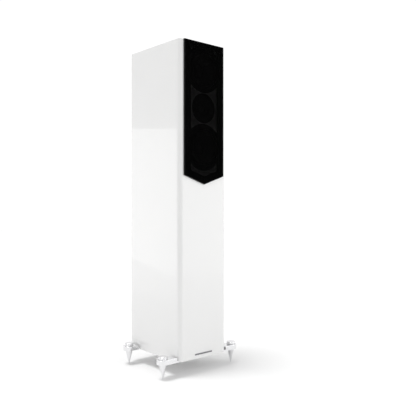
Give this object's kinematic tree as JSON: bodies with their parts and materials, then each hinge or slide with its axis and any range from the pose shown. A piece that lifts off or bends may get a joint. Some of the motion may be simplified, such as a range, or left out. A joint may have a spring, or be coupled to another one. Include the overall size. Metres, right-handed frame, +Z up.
{
  "type": "floorstanding speaker",
  "caption": "Slim gloss cabinet with a lift-off front grille over two woofers and a dome tweeter, rear reflex port and terminal cup, on outrigger spikes.",
  "frame": {"origin": "on the floor under the middle of the whole speaker's box, at the level of the spike tips", "axes": "+Z up; the grille faces -Y and the terminals face +Y; +X is to the right seen from the front"},
  "size_m": [0.309, 0.2596, 0.995],
  "materials": {
    "white_lacquer": "gloss white lacquer on fibreboard",
    "raw_board": "raw fibreboard",
    "wadding": "white polyester wadding",
    "magnet_nickel": "nickel plated magnet",
    "nameplate_metal": "fine brushed dark plate, blank",
    "port_plastic": "moulded black",
    "grille_plastic": "moulded black",
    "grille_fabric": "black open knit",
    "cast_basket": "die cast, powder coated black",
    "plated_steel": "zinc plated",
    "ferrite": "ferrite ceramic",
    "copper_winding": "enamelled copper wire",
    "cone_weave": "woven fibre cone, dark",
    "surround_rubber": "soft rubber",
    "spider_cloth": "resin treated cloth",
    "faceplate_metal": "satin black",
    "dome_silk": "coated silk",
    "black_steel": "black oxide screws",
    "tray_plastic": "moulded black",
    "gold_brass": "gold plated",
    "red_cap": "red",
    "black_cap": "black",
    "hardboard": "dark hardboard",
    "capacitor_film": "film capacitor sleeve",
    "lead_jacket": "two-core jacket",
    "polished_alloy": "polished",
    "chrome_steel": "polished chrome"
  },
  "bodies": {
    "cabinet": {"front_baffle": "white_lacquer", "left_side_panel": "white_lacquer", "right_side_panel": "white_lacquer", "top_panel": "white_lacquer", "base_panel": "white_lacquer", "rear_panel": "white_lacquer", "window_braces": "raw_board", "damping_wadding": "wadding", "baffle_magnets": "magnet_nickel", "nameplate": "nameplate_metal", "reflex_port": "port_plastic", "tweeter_faceplate": "faceplate_metal", "tweeter_surround": "dome_silk", "tweeter_top_plate": "plated_steel", "tweeter_magnet": "ferrite", "tweeter_yoke": "plated_steel", "panel_screws": "black_steel", "terminal_tray": "tray_plastic", "post_stems": "gold_brass", "crossover_board": "hardboard", "inductors": "copper_winding", "capacitors": "capacitor_film", "internal_leads": "lead_jacket", "outriggers": "polished_alloy", "outrigger_bolts": "black_steel", "upper_woofer_basket": "cast_basket", "upper_woofer_top_plate": "plated_steel", "upper_woofer_magnet": "ferrite", "upper_woofer_yoke": "plated_steel", "upper_woofer_surround": "surround_rubber", "upper_woofer_spider": "spider_cloth", "lower_woofer_basket": "cast_basket", "lower_woofer_top_plate": "plated_steel", "lower_woofer_magnet": "ferrite", "lower_woofer_yoke": "plated_steel", "lower_woofer_surround": "surround_rubber", "lower_woofer_spider": "spider_cloth"},
    "grille": {"grille_frame": "grille_plastic", "grille_cloth": "grille_fabric", "grille_magnets": "magnet_nickel"},
    "upper_woofer_cone_assembly": {"upper_woofer_cone": "cone_weave", "upper_woofer_dust_cap": "cone_weave", "upper_woofer_voice_coil": "copper_winding"},
    "lower_woofer_cone_assembly": {"lower_woofer_cone": "cone_weave", "lower_woofer_dust_cap": "cone_weave", "lower_woofer_voice_coil": "copper_winding"},
    "tweeter_dome_assembly": {"tweeter_dome": "dome_silk", "tweeter_voice_coil": "copper_winding"},
    "post_clamp_red": {"post_clamp_red": "gold_brass"},
    "post_cap_red": {"post_cap_red": "red_cap"},
    "post_clamp_black": {"post_clamp_black": "gold_brass"},
    "post_cap_black": {"post_cap_black": "black_cap"},
    "spike_front_left": {"spike_front_left": "chrome_steel"},
    "lock_disc_front_left": {"lock_disc_front_left": "chrome_steel"},
    "spike_front_right": {"spike_front_right": "chrome_steel"},
    "lock_disc_front_right": {"lock_disc_front_right": "chrome_steel"},
    "spike_rear_left": {"spike_rear_left": "chrome_steel"},
    "lock_disc_rear_left": {"lock_disc_rear_left": "chrome_steel"},
    "spike_rear_right": {"spike_rear_right": "chrome_steel"},
    "lock_disc_rear_right": {"lock_disc_rear_right": "chrome_steel"}
  },
  "joints": [
    {"name": "grille_lift_off", "type": "slide", "parent": "cabinet", "child": "grille", "axis": [0, -1, 0], "range_m": [0, 0.1]},
    {"name": "upper_woofer_stroke", "type": "slide", "parent": "cabinet", "child": "upper_woofer_cone_assembly", "axis": [0, -1, 0], "range_m": [-0.004, 0.004], "stiffness_N_per_m": 1100, "deforming": ["upper_woofer_surround", "upper_woofer_spider"]},
    {"name": "lower_woofer_stroke", "type": "slide", "parent": "cabinet", "child": "lower_woofer_cone_assembly", "axis": [0, -1, 0], "range_m": [-0.004, 0.004], "stiffness_N_per_m": 1100, "deforming": ["lower_woofer_surround", "lower_woofer_spider"]},
    {"name": "tweeter_stroke", "type": "slide", "parent": "cabinet", "child": "tweeter_dome_assembly", "axis": [0, -1, 0], "range_m": [-0.0004, 0.0004], "stiffness_N_per_m": 4000, "deforming": ["tweeter_surround"]},
    {"name": "post_clamp_red_travel", "type": "slide", "parent": "cabinet", "child": "post_clamp_red", "axis": [0, 1, 0], "range_m": [0, 0.0045]},
    {"name": "post_cap_red_turn", "type": "hinge", "parent": "post_clamp_red", "child": "post_cap_red", "pos_m": [-0.00953, 0.1118, 0.13], "axis": [0, 1, 0], "range_deg": [0, 1620]},
    {"name": "post_clamp_black_travel", "type": "slide", "parent": "cabinet", "child": "post_clamp_black", "axis": [0, 1, 0], "range_m": [0, 0.0045]},
    {"name": "post_cap_black_turn", "type": "hinge", "parent": "post_clamp_black", "child": "post_cap_black", "pos_m": [0.00953, 0.1118, 0.13], "axis": [0, 1, 0], "range_deg": [0, 1620]},
    {"name": "spike_front_left_travel", "type": "slide", "parent": "cabinet", "child": "spike_front_left", "axis": [0, 0, -1], "range_m": [0, 0.005]},
    {"name": "lock_disc_front_left_turn", "type": "hinge", "parent": "cabinet", "child": "lock_disc_front_left", "pos_m": [-0.136, -0.1007, 0.061], "axis": [0, 0, 1], "range_deg": [0, 1440]},
    {"name": "spike_front_right_travel", "type": "slide", "parent": "cabinet", "child": "spike_front_right", "axis": [0, 0, -1], "range_m": [0, 0.005]},
    {"name": "lock_disc_front_right_turn", "type": "hinge", "parent": "cabinet", "child": "lock_disc_front_right", "pos_m": [0.136, -0.1007, 0.061], "axis": [0, 0, 1], "range_deg": [0, 1440]},
    {"name": "spike_rear_left_travel", "type": "slide", "parent": "cabinet", "child": "spike_rear_left", "axis": [0, 0, -1], "range_m": [0, 0.005]},
    {"name": "lock_disc_rear_left_turn", "type": "hinge", "parent": "cabinet", "child": "lock_disc_rear_left", "pos_m": [-0.121, 0.0978, 0.061], "axis": [0, 0, 1], "range_deg": [0, 1440]},
    {"name": "spike_rear_right_travel", "type": "slide", "parent": "cabinet", "child": "spike_rear_right", "axis": [0, 0, -1], "range_m": [0, 0.005]},
    {"name": "lock_disc_rear_right_turn", "type": "hinge", "parent": "cabinet", "child": "lock_disc_rear_right", "pos_m": [0.121, 0.0978, 0.061], "axis": [0, 0, 1], "range_deg": [0, 1440]}
  ],
  "couplings": [
    {"joint": "post_cap_red_turn", "follows": "post_clamp_red_travel", "rad_per_m": 6283.2},
    {"joint": "post_cap_black_turn", "follows": "post_clamp_black_travel", "rad_per_m": 6283.2},
    {"joint": "lock_disc_front_left_turn", "follows": "spike_front_left_travel", "rad_per_m": 5026.5},
    {"joint": "lock_disc_front_right_turn", "follows": "spike_front_right_travel", "rad_per_m": 5026.5},
    {"joint": "lock_disc_rear_left_turn", "follows": "spike_rear_left_travel", "rad_per_m": 5026.5},
    {"joint": "lock_disc_rear_right_turn", "follows": "spike_rear_right_travel", "rad_per_m": 5026.5}
  ]
}
